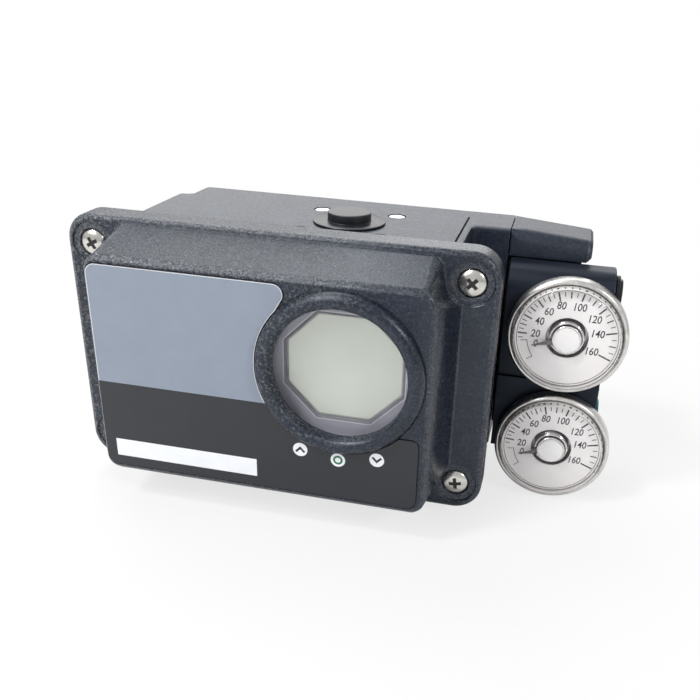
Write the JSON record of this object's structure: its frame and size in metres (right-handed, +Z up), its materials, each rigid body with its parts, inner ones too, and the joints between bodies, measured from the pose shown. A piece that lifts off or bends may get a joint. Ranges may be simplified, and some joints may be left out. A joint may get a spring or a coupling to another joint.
{
  "type": "valve positioner",
  "caption": "Electropneumatic valve positioner: rectangular case, lid with a round display window, and pressure gauges on a side manifold.",
  "frame": {"origin": "centre of the footprint, at the height of the mounting pad's face", "axes": "+X to the right of the lid, +Y from the lid into the case, +Z up along the feedback shaft, away from the mounting pad"},
  "size_m": [0.1886, 0.0906, 0.0993],
  "materials": {
    "case_coat": "satin black powder coat with a fine texture",
    "manifold_coat": "satin black",
    "hood_coat": "satin black powder coat",
    "black_plastic": "moulded, semi-matt",
    "seal_rubber": "matt",
    "window_glass": "polished clear",
    "gauge_lens": "polished clear polycarbonate",
    "display_mask": "matt purple-grey",
    "display_glass": "grey-green reflective liquid crystal panel",
    "circuit_board": "green solder mask",
    "label_film": "satin printed film in two greys",
    "bright_steel": "bright, machined",
    "gauge_steel": "polished stainless",
    "dial_white": "white with black print",
    "pointer_grey": "dark grey paint with a bare hub",
    "bronze": "drawn tube and sintered bush",
    "brass": "turned",
    "nylon": "moulded off-white",
    "teal_plastic": "moulded teal",
    "unit_aluminium": "cast and tumbled"
  },
  "bodies": {
    "case": {"housing": "case_coat", "lid": "case_coat", "lid_gasket": "seal_rubber", "lid_screw_1": "bright_steel", "lid_screw_2": "bright_steel", "lid_screw_3": "bright_steel", "lid_screw_4": "bright_steel", "window_seal": "seal_rubber", "window_glass": "window_glass", "display_mask": "display_mask", "lcd_panel": "display_glass", "display_board": "circuit_board", "key_sensor_board": "circuit_board", "front_label": "label_film", "top_cap": "black_plastic", "top_insert_1": "bright_steel", "top_insert_2": "bright_steel", "top_insert_3": "bright_steel", "top_insert_4": "bright_steel", "shaft_bush_lower": "bronze", "shaft_bush_upper": "bronze", "angle_sensor": "black_plastic", "sensor_bracket": "bright_steel", "main_board": "circuit_board", "terminal_block": "black_plastic", "current_to_pressure_unit": "unit_aluminium", "conduit_plug_1": "black_plastic", "conduit_plug_2": "black_plastic", "earth_screw": "brass", "manifold": "manifold_coat", "manifold_gasket": "seal_rubber", "manifold_screw_1": "bright_steel", "manifold_screw_2": "bright_steel", "manifold_screw_3": "bright_steel", "output_port_plug": "black_plastic", "supply_port_plug": "teal_plastic", "valve_sleeve": "brass", "valve_spring": "bright_steel", "valve_end_plug": "bright_steel", "relay_hood": "hood_coat", "hood_screw": "bright_steel", "upper_gauge_case": "gauge_steel", "upper_gauge_lens": "gauge_lens", "upper_gauge_dial": "dial_white", "upper_gauge_element": "bronze", "upper_gauge_stem": "brass", "lower_gauge_case": "gauge_steel", "lower_gauge_lens": "gauge_lens", "lower_gauge_dial": "dial_white", "lower_gauge_element": "bronze", "lower_gauge_stem": "brass"},
    "upper_pointer": {"upper_gauge_pointer": "pointer_grey"},
    "lower_pointer": {"lower_gauge_pointer": "pointer_grey"},
    "feedback": {"feedback_shaft": "bright_steel", "shaft_gear": "nylon", "shaft_circlip": "bright_steel"},
    "pinion": {"sensor_pinion": "nylon"},
    "spool": {"valve_spool": "bright_steel"}
  },
  "joints": [
    {"name": "upper_pointer_turn", "type": "hinge", "parent": "case", "child": "upper_pointer", "pos_m": [0.0738, 0, 0.0637], "axis": [0, 1, 0], "range_deg": [0, 224], "stiffness_Nm_per_rad": 0.00002},
    {"name": "lower_pointer_turn", "type": "hinge", "parent": "case", "child": "lower_pointer", "pos_m": [0.0738, 0, 0.021], "axis": [0, 1, 0], "range_deg": [0, 224], "stiffness_Nm_per_rad": 0.00002},
    {"name": "feedback_turn", "type": "hinge", "parent": "case", "child": "feedback", "pos_m": [-0.0047, 0.00768, 0.02], "axis": [0, 0, 1], "range_deg": [-50, 50]},
    {"name": "pinion_turn", "type": "hinge", "parent": "case", "child": "pinion", "pos_m": [-0.0317, 0.00768, 0.03], "axis": [0, 0, 1], "range_deg": [-100, 100]},
    {"name": "spool_slide", "type": "slide", "parent": "case", "child": "spool", "axis": [1, 0, 0], "range_m": [-0.0015, 0.0015], "stiffness_N_per_m": 150, "deforming": ["valve_spring"]}
  ],
  "couplings": [
    {"joint": "pinion_turn", "follows": "feedback_turn", "ratio": -2}
  ]
}
